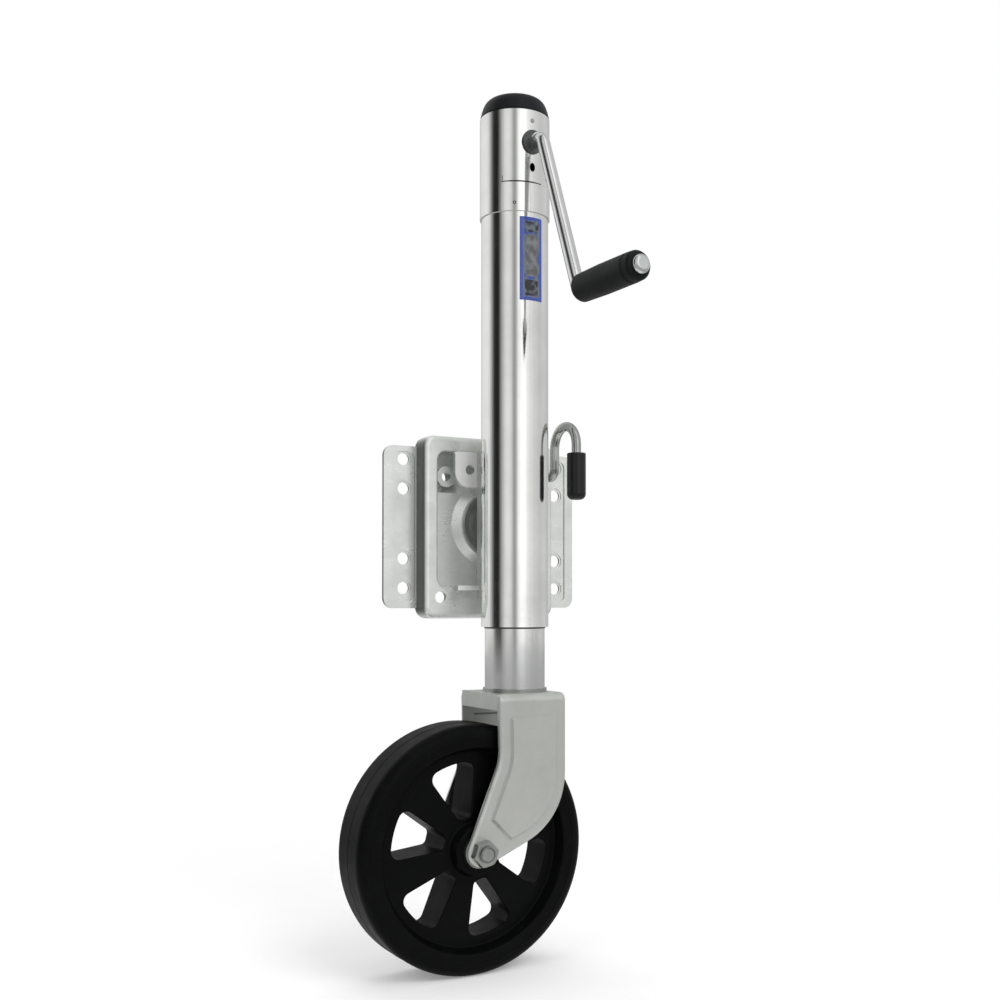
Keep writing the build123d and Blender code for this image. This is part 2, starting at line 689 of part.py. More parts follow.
push_cap_r = 7.2
with BuildPart() as grip_push_cap:
    with BuildSketch(Plane(origin=(0, -TUBE_OFFSET - grip_end - END_FLOAT, handle_z), z_dir=(0, -1, 0))):
        Circle(push_cap_r)
    extrude(amount=4.6)
    fillet(grip_push_cap.faces().sort_by(Axis.Y)[0].edges(), radius=3.4)
    with BuildSketch(Plane(origin=(0, -TUBE_OFFSET - grip_end - END_FLOAT, handle_z), z_dir=(0, -1, 0))):
        Circle(CRANK_R + SEATED)
    extrude(amount=rod_end - grip_end - END_FLOAT + SEATED, mode=Mode.SUBTRACT)
grip_push_cap.part.label = "grip_push_cap"
export_step(grip_push_cap.part, "parts/grip_push_cap.step")

# ---------------------------------------------------------------- bevel gears
pinion_pitch_r = GEAR_MODULE * PINION_TEETH / 2
gear_pitch_r = GEAR_MODULE * GEAR_TEETH / 2
cone_distance = sqrt(pinion_pitch_r**2 + gear_pitch_r**2)
pinion_angle = atan2(pinion_pitch_r, gear_pitch_r)
gear_angle = pi / 2 - pinion_angle
addendum = 0.8 * GEAR_MODULE
dedendum = 1.15 * GEAR_MODULE
APEX = Vector(0, -TUBE_OFFSET, CRANK_Z)


def involute_half_angle(radius, pitch_r, half_at_pitch):
    """Half of a spur tooth's angle at a radius, for a pressure angle of 20 degrees."""
    base_r = pitch_r * cos(radians(20))

    def swing(r):
        grip_angle = sqrt(max((r / base_r) ** 2 - 1, 0))
        return grip_angle - atan2(grip_angle, 1)

    return half_at_pitch + swing(pitch_r) - swing(max(radius, base_r))


def tooth_outline(pitch_r, cone_angle):
    """Half of a tooth's outline on the back cone: (distance from its middle, height over the pitch line)."""
    spur_r = pitch_r / cos(cone_angle)
    half_at_pitch = TOOTH_SHARE * pi * GEAR_MODULE / (2 * spur_r)
    heights = (-dedendum - 0.3, -dedendum / 2, 0, addendum / 2, addendum)
    return [
        ((spur_r + h) * sin(involute_half_angle(spur_r + h, spur_r, half_at_pitch)), h)
        for h in heights
    ]


def bevel_tooth(pitch_r, cone_angle, axis_dir, radial):
    """One tooth of a straight bevel gear, which tapers towards the shared apex."""
    half = tooth_outline(pitch_r, cone_angle)
    outline = half + [(-x, h) for x, h in reversed(half)]
    element = axis_dir * cos(cone_angle) + radial * sin(cone_angle)
    across = axis_dir.cross(radial)
    with BuildPart() as tooth:
        for share in (1.0, 1 - FACE_SHARE):
            face = Plane(origin=APEX + element * cone_distance * share, x_dir=across, z_dir=element)
            up = 1 if face.y_dir.dot(radial) > 0 else -1
            with BuildSketch(face):
                with BuildLine():
                    Polyline([(x * share, up * h * share) for x, h in outline], close=True)
                make_face()
        loft(ruled=True)
    return tooth.part


def cone_point(pitch_r, axial, cone_angle, height, share):
    """(radius, distance from the apex along the axis) of a point at a height over the pitch cone."""
    return (
        share * (pitch_r + height * cos(cone_angle)),
        share * (axial - height * sin(cone_angle)),
    )


gear_root_outer = cone_point(gear_pitch_r, pinion_pitch_r, gear_angle, -dedendum, 1.0)
gear_root_inner = cone_point(gear_pitch_r, pinion_pitch_r, gear_angle, -dedendum, 1 - FACE_SHARE)
pinion_root_outer = cone_point(pinion_pitch_r, gear_pitch_r, pinion_angle, -dedendum, 1.0)
pinion_root_inner = cone_point(pinion_pitch_r, gear_pitch_r, pinion_angle, -dedendum, 1 - FACE_SHARE)
gear_hub_r = 13.0
gear_hub_bottom = BEARING_PLATE_TOP + 2 * END_FLOAT
gear_pin_r = 2.0
gear_pin_z = gear_hub_bottom + 4.5
pinion_hub_end = 22.3            # from the tube's axis
pinion_hub_r = 8.0
pinion_neck_end = 14.3           # inner hub's step, from the tube's axis
pinion_inner_end = 9.0
pinion_inner_r = 7.8

with BuildPart() as driven_gear:
    with BuildSketch(Plane.XZ.offset(TUBE_OFFSET)):
        with BuildLine():
            Polyline(
                (JOURNAL_R + SEATED, gear_hub_bottom),
                (gear_hub_r, gear_hub_bottom),
                (gear_hub_r, gear_pin_z + 3.5),
                (gear_root_outer[0], CRANK_Z - gear_root_outer[1] - 2.5),
                (gear_root_outer[0], CRANK_Z - gear_root_outer[1]),
                (gear_root_inner[0], CRANK_Z - gear_root_inner[1]),
                (JOURNAL_R + SEATED, CRANK_Z - gear_root_inner[1]),
                close=True,
            )
        make_face()
    revolve(axis=Axis((0, -TUBE_OFFSET, 0), (0, 0, 1)))
    gear_tooth = bevel_tooth(gear_pitch_r, gear_angle, Vector(0, 0, -1), Vector(0, -1, 0))
    for n in range(GEAR_TEETH):
        add(gear_tooth.rotate(Axis(APEX, (0, 0, 1)), n * 360 / GEAR_TEETH))
    with BuildSketch(Plane(origin=(-gear_hub_r, -TUBE_OFFSET, gear_pin_z), z_dir=(1, 0, 0))):
        Circle(gear_pin_r + SEATED)
    extrude(amount=2 * gear_hub_r, mode=Mode.SUBTRACT)
driven_gear.part.label = "driven_gear"
export_step(driven_gear.part, "parts/driven_gear.step")

with BuildPart() as drive_pinion:
    with BuildSketch(Plane(origin=(0, -TUBE_OFFSET, CRANK_Z), x_dir=(0, 0, 1), z_dir=(1, 0, 0))):
        with BuildLine():
            Polyline(
                (CRANK_R + SEATED, pinion_inner_end),
                (pinion_inner_r, pinion_inner_end),
                (pinion_inner_r, pinion_neck_end),
                (pinion_root_inner[0], pinion_neck_end),
                (pinion_root_inner[0], pinion_root_inner[1]),
                (pinion_root_outer[0], pinion_root_outer[1]),
                (pinion_hub_r, pinion_hub_end),
                (CRANK_R + SEATED, pinion_hub_end),
                close=True,
            )
        make_face()
    revolve(axis=Axis((0, -TUBE_OFFSET, CRANK_Z), (0, 1, 0)))
    pinion_tooth = bevel_tooth(pinion_pitch_r, pinion_angle, Vector(0, -1, 0), Vector(0, 0, -1))
    for n in range(PINION_TEETH):
        add(pinion_tooth.rotate(Axis(APEX, (0, 1, 0)), (n + 0.5) * 360 / PINION_TEETH))
    with BuildSketch(Plane(origin=(0, -TUBE_OFFSET - pinion_pin_at, CRANK_Z - pinion_inner_r))):
        Circle(pinion_pin_r + SEATED)
    extrude(amount=2 * pinion_inner_r, mode=Mode.SUBTRACT)
drive_pinion.part.label = "drive_pinion"
export_step(drive_pinion.part, "parts/drive_pinion.step")

with BuildPart() as pinion_pin:
    with BuildSketch(Plane(origin=(0, -TUBE_OFFSET - pinion_pin_at, CRANK_Z - pinion_inner_r))):
        Circle(pinion_pin_r)
    extrude(amount=2 * pinion_inner_r)
pinion_pin.part.label = "pinion_pin"
export_step(pinion_pin.part, "parts/pinion_pin.step")

with BuildPart() as gear_pin:
    with BuildSketch(Plane(origin=(-gear_hub_r, -TUBE_OFFSET, gear_pin_z), z_dir=(1, 0, 0))):
        Circle(gear_pin_r)
    extrude(amount=2 * gear_hub_r)
gear_pin.part.label = "gear_pin"
export_step(gear_pin.part, "parts/gear_pin.step")

# ---------------------------------------------------------------- lead screw and bearing
bearing_plate_bottom = BEARING_PLATE_TOP - BEARING_PLATE_THICKNESS
collar_top = bearing_plate_bottom - THRUST_BEARING_HEIGHT - RUNNING
screw_top = CRANK_Z - gear_root_inner[1]

with BuildPart() as lead_screw:
    with BuildSketch(Plane.XZ.offset(TUBE_OFFSET)):
        with BuildLine():
            Polyline(
                (0, SCREW_BOTTOM),
                (SCREW_R - 2, SCREW_BOTTOM),
                (SCREW_R, SCREW_BOTTOM + 2),
                (SCREW_R, collar_top - COLLAR_HEIGHT),
                (COLLAR_R, collar_top - COLLAR_HEIGHT),
                (COLLAR_R, collar_top),
                (JOURNAL_R, collar_top),
                (JOURNAL_R, screw_top),
                (0, screw_top),
                close=True,
            )
        make_face()
    revolve(axis=Axis((0, -TUBE_OFFSET, 0), (0, 0, 1)))
    with BuildSketch(Plane(origin=(-gear_hub_r, -TUBE_OFFSET, gear_pin_z), z_dir=(1, 0, 0))):
        Circle(gear_pin_r + SEATED)
    extrude(amount=2 * gear_hub_r, mode=Mode.SUBTRACT)
lead_screw.part.label = "lead_screw"
export_step(lead_screw.part, "parts/lead_screw.step")

with BuildPart() as bearing_plate:
    with BuildSketch(level(bearing_plate_bottom)):
        ring(tube_bore - SEATED, JOURNAL_R + RUNNING)
    extrude(amount=BEARING_PLATE_THICKNESS)
bearing_plate.part.label = "bearing_plate"
export_step(bearing_plate.part, "parts/bearing_plate.step")

with BuildPart() as thrust_bearing:
    with BuildSketch(level(bearing_plate_bottom - THRUST_BEARING_HEIGHT)):
        ring(COLLAR_R + 2, JOURNAL_R + RUNNING)
    extrude(amount=THRUST_BEARING_HEIGHT)
thrust_bearing.part.label = "thrust_bearing"
export_step(thrust_bearing.part, "parts/thrust_bearing.step")

# ---------------------------------------------------------------- ram
ram_bore = RAM_R - RAM_WALL
washer_height = 3.0
ram_bottom = FORK_TOP + washer_height
base_thickness = 6.0

with BuildPart() as inner_tube:
    with BuildSketch(level(ram_bottom)):
        ring(RAM_R, ram_bore)
    extrude(amount=RAM_TOP - ram_bottom)
inner_tube.part.label = "inner_tube"
export_step(inner_tube.part, "parts/inner_tube.step")

with BuildPart() as screw_nut:
    with BuildSketch(level(RAM_TOP - NUT_HEIGHT)):
        ring(ram_bore - SEATED, SCREW_R + RUNNING)
    extrude(amount=NUT_HEIGHT)
screw_nut.part.label = "screw_nut"
export_step(screw_nut.part, "parts/screw_nut.step")

with BuildPart() as ram_base:
    with BuildSketch(level(ram_bottom)):
        ring(ram_bore - SEATED, KINGPIN_R + SEATED)
    extrude(amount=base_thickness)
ram_base.part.label = "ram_base"
export_step(ram_base.part, "parts/ram_base.step")

kingpin_head_r = 13.0
kingpin_head_top = FORK_TOP - FORK_SHEET - 2 * END_FLOAT
kingpin_top = ram_bottom + base_thickness
with BuildPart() as kingpin:
    with BuildSketch(Plane.XZ.offset(TUBE_OFFSET)):
        with BuildLine():
            Polyline(
                (0, kingpin_head_top - 5),
                (kingpin_head_r - 3, kingpin_head_top - 5),
                (kingpin_head_r, kingpin_head_top - 2.5),
                (kingpin_head_r, kingpin_head_top),
                (KINGPIN_R, kingpin_head_top),
                (KINGPIN_R, kingpin_top),
                (KINGPIN_R + 3, kingpin_top),
                (KINGPIN_R + 2, kingpin_top + 2.5),
                (0, kingpin_top + 3.5),
                close=True,
            )
        make_face()
    revolve(axis=Axis((0, -TUBE_OFFSET, 0), (0, 0, 1)))
kingpin.part.label = "kingpin"
export_step(kingpin.part, "parts/kingpin.step")

with BuildPart() as caster_washer:
    with BuildSketch(level(FORK_TOP + END_FLOAT / 2)):
        ring(RAM_R + 1.6, KINGPIN_R + SEATED)
    extrude(amount=washer_height - END_FLOAT / 2)
caster_washer.part.label = "caster_washer"
export_step(caster_washer.part, "parts/caster_washer.step")

# ---------------------------------------------------------------- fork


def tangent_direction(point, centre, radius, side):
    """Angle in degrees of the line from a point that touches a circle: side -1 passes it on the right."""
    dx = centre[0] - point[0]
    dz = centre[1] - point[1]
    return degrees(atan2(dz, dx) + side * asin(radius / sqrt(dx**2 + dz**2)))


def meeting(p, angle_p, q, angle_q):
    """Where the line through p at angle_p meets the line through q at angle_q."""
    a, b = radians(angle_p), radians(angle_q)
    dx = q[0] - p[0]
    dz = q[1] - p[1]
    run = (dx * sin(b) - dz * cos(b)) / (cos(a) * sin(b) - sin(a) * cos(b))
    return (p[0] + run * cos(a), p[1] + run * sin(a))


fork_bend_r = 6.0
roof_corner_r = 3.0
axle_point = (-TRAIL, AXLE_Z)
back_slope = tangent_direction(FORK_WAIST, axle_point, FORK_BOSS_R, -1)
under_boss = (
    axle_point[0] + FORK_BOSS_R * sin(radians(FORK_HEEL_SLOPE)),
    axle_point[1] - FORK_BOSS_R * cos(radians(FORK_HEEL_SLOPE)),
)
boss_corner = meeting(FORK_WAIST, back_slope, under_boss, FORK_HEEL_SLOPE)
heel_corner = meeting(under_boss, FORK_HEEL_SLOPE, (FORK_FRONT, 0), 90)


def fork_side():
    """Outline of one side plate."""
    with BuildSketch() as side_plate:
        with BuildLine():
            FilletPolyline(
                (FORK_FRONT, FORK_TOP),
                (FORK_BACK, FORK_TOP),
                FORK_WAIST,
                boss_corner,
                heel_corner,
                radius=[0, 0, 40, FORK_BOSS_R - 0.02, FORK_HEEL_R - 1],
                close=True,
            )
        make_face()
    return side_plate.sketch


def panel(inset, step):
    """Outline of the raised panel: the side plate's outline drawn in, cut off above and near the axle."""
    cut_at = EMBOSS_END + step - 40
    cut_centre = (axle_point[0] + cut_at * cos(pi / 4), axle_point[1] + cut_at * sin(pi / 4))
    with BuildSketch() as raised:
        add(fork_side())
        offset(amount=-inset, kind=Kind.INTERSECTION, mode=Mode.REPLACE)
        with Locations(((FORK_FRONT + FORK_BACK) / 2, EMBOSS_TOP - step + 50)):
            Rectangle(300, 100, mode=Mode.SUBTRACT)
        with Locations(cut_centre):
            Rectangle(80, 120, rotation=45, mode=Mode.SUBTRACT)
    return raised.sketch


with BuildPart() as fork:
    with BuildSketch(outward(-FORK_HALF_WIDTH)):
        add(fork_side())
    extrude(amount=2 * FORK_HALF_WIDTH)
    roof_edges = fork.faces().sort_by(Axis.Z)[-1].edges().filter_by(Axis.X)
    fillet(roof_edges, radius=fork_bend_r)
    fillet(fork.edges().sort_by_distance((FORK_BACK, -TUBE_OFFSET, FORK_TOP))[0], radius=roof_corner_r)
    with BuildSketch(outward(FORK_SHEET - FORK_HALF_WIDTH)):
        with Locations((0, FORK_TOP - FORK_SHEET - 100)):
            Rectangle(400, 200)
    extrude(amount=2 * (FORK_HALF_WIDTH - FORK_SHEET), mode=Mode.SUBTRACT)
    with BuildSketch(outward(FORK_SHEET - FORK_HALF_WIDTH)):
        with Locations((FORK_BACK + FORK_SHEET / 2, FORK_TOP - FORK_LIP / 2)):
            Rectangle(FORK_SHEET, FORK_LIP)
    extrude(amount=2 * (FORK_HALF_WIDTH - FORK_SHEET))
    for side in (1, -1):
        with BuildSketch(outward(side * FORK_HALF_WIDTH)):
            add(panel(EMBOSS_INSET, 0))
        extrude(amount=side * EMBOSS_RISE, taper=35)
        with BuildSketch(outward(side * (FORK_HALF_WIDTH - FORK_SHEET))):
            add(panel(EMBOSS_INSET + 1.5, 1.5))
        extrude(amount=side * EMBOSS_RISE, taper=35, mode=Mode.SUBTRACT)
    with BuildSketch(axle_plane(-FORK_HALF_WIDTH)):
        Circle(AXLE_R + RUNNING)
    extrude(amount=2 * FORK_HALF_WIDTH, mode=Mode.SUBTRACT)
    with BuildSketch(level(FORK_TOP - FORK_SHEET)):
        Circle(KINGPIN_R + RUNNING)
    extrude(amount=FORK_SHEET, mode=Mode.SUBTRACT)
fork.part.label = "fork"
export_step(fork.part, "parts/fork.step")

# ---------------------------------------------------------------- axle
bolt_head_height = 7.0
hex_inradius = 9.5
hex_corner_r = hex_inradius / cos(pi / 6)
hex_chamfer = 1.1
nut_turn = 12.0                  # degrees
nut_height = 8.0
bolt_projection = 2.6
inner_gap = FORK_HALF_WIDTH - FORK_SHEET

with BuildPart() as axle_bolt:
    with BuildSketch(axle_plane(-FORK_HALF_WIDTH)):
        Circle(hex_corner_r)
    extrude(amount=-bolt_head_height)
    chamfer(axle_bolt.faces().sort_by(Axis.Y)[-1].edges(), length=hex_chamfer)
    with BuildSketch(axle_plane(-FORK_HALF_WIDTH)):
        RegularPolygon(hex_inradius, 6, major_radius=False)
    extrude(amount=-bolt_head_height, mode=Mode.INTERSECT)
    with BuildSketch(axle_plane(-FORK_HALF_WIDTH)):
        Circle(AXLE_R)
    extrude(amount=2 * FORK_HALF_WIDTH + nut_height + bolt_projection)
    chamfer(axle_bolt.faces().sort_by(Axis.Y)[0].edges(), length=1.5)
axle_bolt.part.label = "axle_bolt"
export_step(axle_bolt.part, "parts/axle_bolt.step")

with BuildPart() as axle_nut:
    with BuildSketch(axle_plane(FORK_HALF_WIDTH)):
        Circle(hex_corner_r)
    extrude(amount=nut_height)
    chamfer(axle_nut.faces().sort_by(Axis.Y)[0].edges(), length=hex_chamfer)
    chamfer(axle_nut.faces().sort_by(Axis.Y)[-1].edges(), length=hex_chamfer / 2)
    with BuildSketch(axle_plane(FORK_HALF_WIDTH)):
        RegularPolygon(hex_inradius, 6, major_radius=False, rotation=nut_turn)
    extrude(amount=nut_height, mode=Mode.INTERSECT)
    with BuildSketch(axle_plane(FORK_HALF_WIDTH)):
        Circle(AXLE_R + SEATED)
    extrude(amount=nut_height, mode=Mode.SUBTRACT)
axle_nut.part.label = "axle_nut"
export_step(axle_nut.part, "parts/axle_nut.step")

with BuildPart() as axle_sleeve:
    with BuildSketch(axle_plane(-inner_gap)):
        ring(SLEEVE_R, AXLE_R + SEATED)
    extrude(amount=2 * inner_gap)
axle_sleeve.part.label = "axle_sleeve"
export_step(axle_sleeve.part, "parts/axle_sleeve.step")

bush_flange = 1.2
washer_inner = HUB_HALF_WIDTH + bush_flange + END_FLOAT
with BuildPart() as axle_washers:
    for side in (1, -1):
        with BuildSketch(axle_plane(side * washer_inner)):
            ring(SLEEVE_R + 5, SLEEVE_R + SEATED)
        extrude(amount=side * (inner_gap - washer_inner - SEATED))
axle_washers.part.label = "axle_washers"
export_step(axle_washers.part, "parts/axle_washers.step")

# ---------------------------------------------------------------- wheel
rim_inner_r = WHEEL_R - 18.6
rim_lip_r = 2.2
web_r = rim_inner_r - 4
web_root_r = 1.6
web_half = 15.5
web_at_hub = 18.5
hub_foot = 2.0                   # how far the hub's side leans out towards the web
hub_root_r = 2.0
hub_edge_r = 1.5
window_inner = 26.0
window_outer = web_r - 8
window_start = 45.0              # turn of the first window, in degrees
window_angle = 17.5              # half of the angle that a window's outer corners span
window_apex = 5.5                # half of a window's width at its inner end
outer_corner_r = 7.0
inner_corner_r = 4.6
window_edge_r = 1.2


def window():
    """One opening, with its narrow end towards the hub."""
    reach = window_outer * cos(radians(window_angle))
    spread = window_outer * sin(radians(window_angle))
    with BuildSketch() as opening:
        with BuildLine():
            Polyline(
                (reach, spread),
                (window_inner, window_apex),
                (window_inner, -window_apex),
                (reach, -spread),
            )
            ThreePointArc((reach, -spread), (window_outer, 0), (reach, spread))
        make_face()
        fillet(opening.vertices().group_by(Axis.X)[-1], radius=outer_corner_r)
        fillet(opening.vertices().group_by(Axis.X)[0], radius=inner_corner_r)
    return opening.sketch


def is_window_edge(edge):
    """Whether an edge is where a window's wall meets the web's face."""
    middle = edge.position_at(0.5) - Vector(-TRAIL, -TUBE_OFFSET, AXLE_Z)
    radius = sqrt(middle.X**2 + middle.Z**2)
    return abs(middle.Y) > web_half - 1 and window_inner - 0.2 < radius < window_outer + 0.2


with BuildPart() as wheel:
    with BuildSketch(Plane(origin=(-TRAIL, -TUBE_OFFSET, AXLE_Z), x_dir=(0, 0, 1), z_dir=(1, 0, 0))):
        with BuildLine():
            FilletPolyline(
                (BUSH_R, 0),
                (BUSH_R, HUB_HALF_WIDTH),
                (HUB_R, HUB_HALF_WIDTH),
                (HUB_R + hub_foot, web_at_hub),
                (web_r, web_half),
                (rim_inner_r, WHEEL_HALF_WIDTH),
                (WHEEL_R, WHEEL_HALF_WIDTH),
                (WHEEL_R, 0),
                radius=[0, 0, hub_edge_r, hub_root_r, web_root_r, rim_lip_r, WHEEL_SHOULDER_R, 0],
                close=True,
            )
        make_face()
    revolve(axis=Axis((-TRAIL, -TUBE_OFFSET, AXLE_Z), (0, 1, 0)))
    mirror(about=outward(0))
    with BuildSketch(axle_plane(-WHEEL_HALF_WIDTH)):
        for n in range(WINDOWS):
            add(window().rotate(Axis.Z, window_start + n * 360 / WINDOWS))
    extrude(amount=2 * WHEEL_HALF_WIDTH, mode=Mode.SUBTRACT)
    fillet(wheel.edges().filter_by(is_window_edge), radius=window_edge_r)
wheel.part.label = "wheel"
export_step(wheel.part, "parts/wheel.step")

with BuildPart() as wheel_bushes:
    for side in (1, -1):
        with BuildSketch(axle_plane(side * 10)):
            Circle(BUSH_R - SEATED)
        extrude(amount=side * (HUB_HALF_WIDTH - 10))
        with BuildSketch(axle_plane(side * HUB_HALF_WIDTH)):
            Circle(BUSH_R + 3)
        extrude(amount=side * bush_flange)
        with BuildSketch(axle_plane(side * 10)):
            Circle(SLEEVE_R + RUNNING)
        extrude(amount=side * (HUB_HALF_WIDTH - 10 + bush_flange), mode=Mode.SUBTRACT)
wheel_bushes.part.label = "wheel_bushes"
export_step(wheel_bushes.part, "parts/wheel_bushes.step")
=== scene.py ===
"""Looks for the trailer tongue jack: finishes for every CAD node, small details, light and camera."""

import math

import bmesh
import bpy
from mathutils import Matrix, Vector


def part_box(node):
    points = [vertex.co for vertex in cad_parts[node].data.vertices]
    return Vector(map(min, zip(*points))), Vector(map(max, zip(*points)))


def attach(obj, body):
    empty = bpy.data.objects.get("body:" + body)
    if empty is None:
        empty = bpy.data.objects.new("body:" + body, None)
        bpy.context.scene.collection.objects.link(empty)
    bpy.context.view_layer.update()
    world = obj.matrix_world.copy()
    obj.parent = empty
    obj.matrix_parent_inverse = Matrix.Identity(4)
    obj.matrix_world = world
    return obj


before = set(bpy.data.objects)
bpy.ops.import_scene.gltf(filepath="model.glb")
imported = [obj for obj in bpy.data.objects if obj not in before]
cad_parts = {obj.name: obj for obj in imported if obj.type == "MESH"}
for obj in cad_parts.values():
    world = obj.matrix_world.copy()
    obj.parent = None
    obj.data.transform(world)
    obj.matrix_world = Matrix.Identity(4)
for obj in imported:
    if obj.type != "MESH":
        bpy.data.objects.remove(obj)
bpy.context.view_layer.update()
MM = 0.001

# Sizes and places that the CAD model has inside its nodes, where their boxes don't show them.
SADDLE_X = 18 * MM               # half of the width over the saddle's cheeks
SLIT_Z = 281.45 * MM             # middle of the slit across the head sleeve
SLIT_FROM, SLIT_TO = 219, 287.5  # azimuths of the slit's ends, in degrees
LABEL_BOTTOM = 183 * MM
RIM_FACE_Y = 2.6 * MM            # from the hub's end back to the rim's face
RIM_FLAT_R = 92.6 * MM           # where the rim's face meets the shoulder
BOLT_R = 6.3 * MM

# Modelled details
SEAM_TURN = 266                  # azimuth of the tubes' weld seams
WELD_R = 2.1 * MM
WELD_STEP = 0.7 * MM
SEAM_R = 0.45 * MM
SEAM_STEP = 1.5 * MM
THREAD_TURNS = 3
THREAD_PITCH = 0.85 * MM
THREAD_DEPTH = 0.32 * MM


# ---------------------------------------------------------------- node helpers

class Shader:
    """A small builder for one material's nodes."""

    def __init__(self, name):
        self.material = bpy.data.materials.new(name)
        self.material.use_nodes = True
        self.tree = self.material.node_tree
        self.tree.nodes.clear()
        self.output = self.add("ShaderNodeOutputMaterial")
        self.bsdf = self.add("ShaderNodeBsdfPrincipled")
        self.link(self.bsdf.outputs["BSDF"], self.output.inputs["Surface"])
        coordinates = self.add("ShaderNodeTexCoord")
        self.place = coordinates.outputs["Object"]
        self.facing = coordinates.outputs["Normal"]

    def add(self, kind, **values):
        """A new node with some of its settings."""
        node = self.tree.nodes.new(kind)
        for key, value in values.items():
            setattr(node, key, value)
        return node

    def link(self, a, b):
        self.tree.links.new(a, b)

    def stretched(self, scale):
        """Object coordinates multiplied by a scale for each axis."""
        mapping = self.add("ShaderNodeMapping")
        mapping.inputs["Scale"].default_value = scale
        self.link(self.place, mapping.inputs["Vector"])
        return mapping.outputs["Vector"]

    def noise(self, scale, detail, rough, stretch=(1, 1, 1)):
        """Cloudy noise in object space."""
        node = self.add("ShaderNodeTexNoise")
        node.inputs["Scale"].default_value = scale
        node.inputs["Detail"].default_value = detail
        node.inputs["Roughness"].default_value = rough
        self.link(self.stretched(stretch), node.inputs["Vector"])
        return node.outputs["Fac"]

    def cells(self, scale):
        """The distance to the middle of the nearest of many small cells."""
        node = self.add("ShaderNodeTexVoronoi")
        node.inputs["Scale"].default_value = scale
        self.link(self.place, node.inputs["Vector"])
        return node.outputs["Distance"]

    def spread(self, value, low, high, from_low=0.3, from_high=0.7):
        """A value moved from one range to another and kept inside it."""
        node = self.add("ShaderNodeMapRange")
        node.inputs["From Min"].default_value = from_low
        node.inputs["From Max"].default_value = from_high
        node.inputs["To Min"].default_value = low
        node.inputs["To Max"].default_value = high
        self.link(value, node.inputs["Value"])
        return node.outputs["Result"]

    def math(self, operation, a, b):
        """A sum of two values, each a socket or a number."""
        node = self.add("ShaderNodeMath", operation=operation)
        for socket, value in zip(node.inputs, (a, b)):
            if hasattr(value, "node"):
                self.link(value, socket)
            else:
                socket.default_value = value
        return node.outputs["Value"]

    def mix(self, factor, a, b):
        """A blend of two colours, each a socket or red, green and blue."""
        node = self.add("ShaderNodeMix", data_type="RGBA")
        for socket, value in ((node.inputs[0], factor), (node.inputs[6], a), (node.inputs[7], b)):
            if hasattr(value, "node"):
                self.link(value, socket)
            elif isinstance(value, tuple):
                socket.default_value = (*value, 1)
            else:
                socket.default_value = value
        return node.outputs[2]

    def bump(self, height, distance, strength, over=None):
        """Relief of a height in metres, on top of another relief if one is given."""
        node = self.add("ShaderNodeBump")
        node.inputs["Strength"].default_value = strength
        node.inputs["Distance"].default_value = distance
        self.link(height, node.inputs["Height"])
        if over is not None:
            self.link(over, node.inputs["Normal"])
        return node.outputs["Normal"]

    def done(self, color, rough, normal=None, **constants):
        """The finished material. Constants go straight onto the shader's own sockets."""
        for name, value in (("Base Color", color), ("Roughness", rough), ("Normal", normal)):
            if hasattr(value, "node"):
                self.link(value, self.bsdf.inputs[name])
            elif isinstance(value, tuple):
                self.bsdf.inputs[name].default_value = (*value, 1)
            elif value is not None:
                self.bsdf.inputs[name].default_value = value
        for name, value in constants.items():
            self.bsdf.inputs[name.replace("_", " ")].default_value = value
        return self.material


# ---------------------------------------------------------------- materials

def plated(name, color, dark, rough, cloud=0.05, streak=(1, 1, 0.04)):
    """Zinc plate on steel: cloudy colour, drawn streaks in the gloss and a fine grain."""
    s = Shader(name)
    clouds = s.noise(26, 4, 0.6)
    streaks = s.noise(700, 2, 0.6, streak)
    fine = s.noise(2600, 2, 0.5)
    tone = s.mix(s.spread(clouds, 0, 1, 0.35, 0.75), color, dark)
    tone = s.mix(s.spread(streaks, 0, cloud * 4, 0.45, 0.7), tone, dark)
    roughness = s.math("ADD", s.spread(streaks, rough * 0.8, rough * 1.25), s.spread(clouds, -0.03, 0.06))
    normal = s.bump(fine, 0.01 * MM, 0.5, s.bump(streaks, 0.02 * MM, 0.35))
    return s.done(tone, roughness, normal, Metallic=1.0)


def chromate(name, color, tint, rough, metal=1.0, side=None):
    """Matt zinc with a clouded tint and fine crystals. Walls that face to the sides can get painted shade, a
    darker colour in place of their shading.
    """
    s = Shader(name)
    clouds = s.noise(34, 5, 0.65)
    crystals = s.cells(1100)
    scratches = s.noise(420, 3, 0.6, (0.08, 1, 1))
    tone = s.mix(s.spread(clouds, 0, 0.7, 0.4, 0.7), color, tint)
    tone = s.mix(s.spread(crystals, 0, 0.08, 0.2, 0.9), tone, tint)
    tone = s.mix(s.spread(scratches, 0, 0.18, 0.5, 0.8), tone, tint)
    # Painted shade: the more a wall faces along X, the closer its colour goes to the given dark colour.
    if side is not None:
        normal = s.add("ShaderNodeSeparateXYZ")
        s.link(s.facing, normal.inputs["Vector"])
        side_shade_mask = s.math("ABSOLUTE", normal.outputs["X"], 0.0)
        tone = s.mix(s.spread(side_shade_mask, 0, 1, 0.55, 0.97), tone, side)
    roughness = s.math("ADD", s.spread(clouds, rough - 0.06, rough + 0.1), s.spread(scratches, -0.03, 0.05))
    normal = s.bump(crystals, 0.01 * MM, 0.12, s.bump(clouds, 0.06 * MM, 0.15))
    return s.done(tone, roughness, normal, Metallic=metal)


def machined(name, color, rough):
    """Turned steel: fine tool rings under patches of oil."""
    s = Shader(name)
    rings = s.noise(900, 2, 0.5, (0.15, 0.15, 3))
    oil = s.noise(45, 4, 0.6)
    tone = s.mix(s.spread(oil, 0, 0.8), color, tuple(c * 0.6 for c in color))
    roughness = s.spread(oil, rough - 0.08, rough + 0.12)
    return s.done(tone, roughness, s.bump(rings, 0.03 * MM, 0.4), Metallic=1.0)


